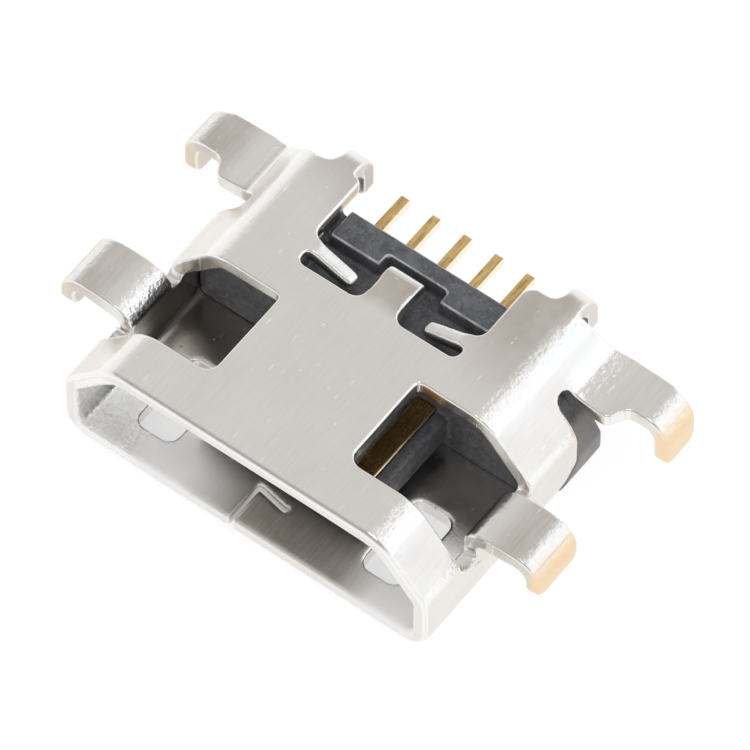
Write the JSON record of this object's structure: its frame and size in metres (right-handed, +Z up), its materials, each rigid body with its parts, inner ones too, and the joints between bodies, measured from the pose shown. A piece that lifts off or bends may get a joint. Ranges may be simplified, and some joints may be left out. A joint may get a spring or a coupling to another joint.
{
  "type": "board charging connector",
  "caption": "Small board-edge charging and data socket: bent plated steel shell with solder legs, black housing with a tongue, gold contacts with solder tails.",
  "frame": {"origin": "middle of the underside's bounding box, at the height of the underside of the shell", "axes": "+Z up from the wide wall of the mouth to the narrow wall, -Y out of the mouth, +X to the right seen from the plug"},
  "size_m": [0.01, 0.0062, 0.0025],
  "materials": {
    "nickel_shell": "bright nickel plating",
    "black_housing": "satin",
    "gold_contact": "thin gold plating"
  },
  "bodies": {
    "root": {"shell": "nickel_shell", "housing": "black_housing", "contact_1": "gold_contact", "contact_2": "gold_contact", "contact_3": "gold_contact", "contact_4": "gold_contact", "contact_5": "gold_contact"}
  },
  "joints": []
}
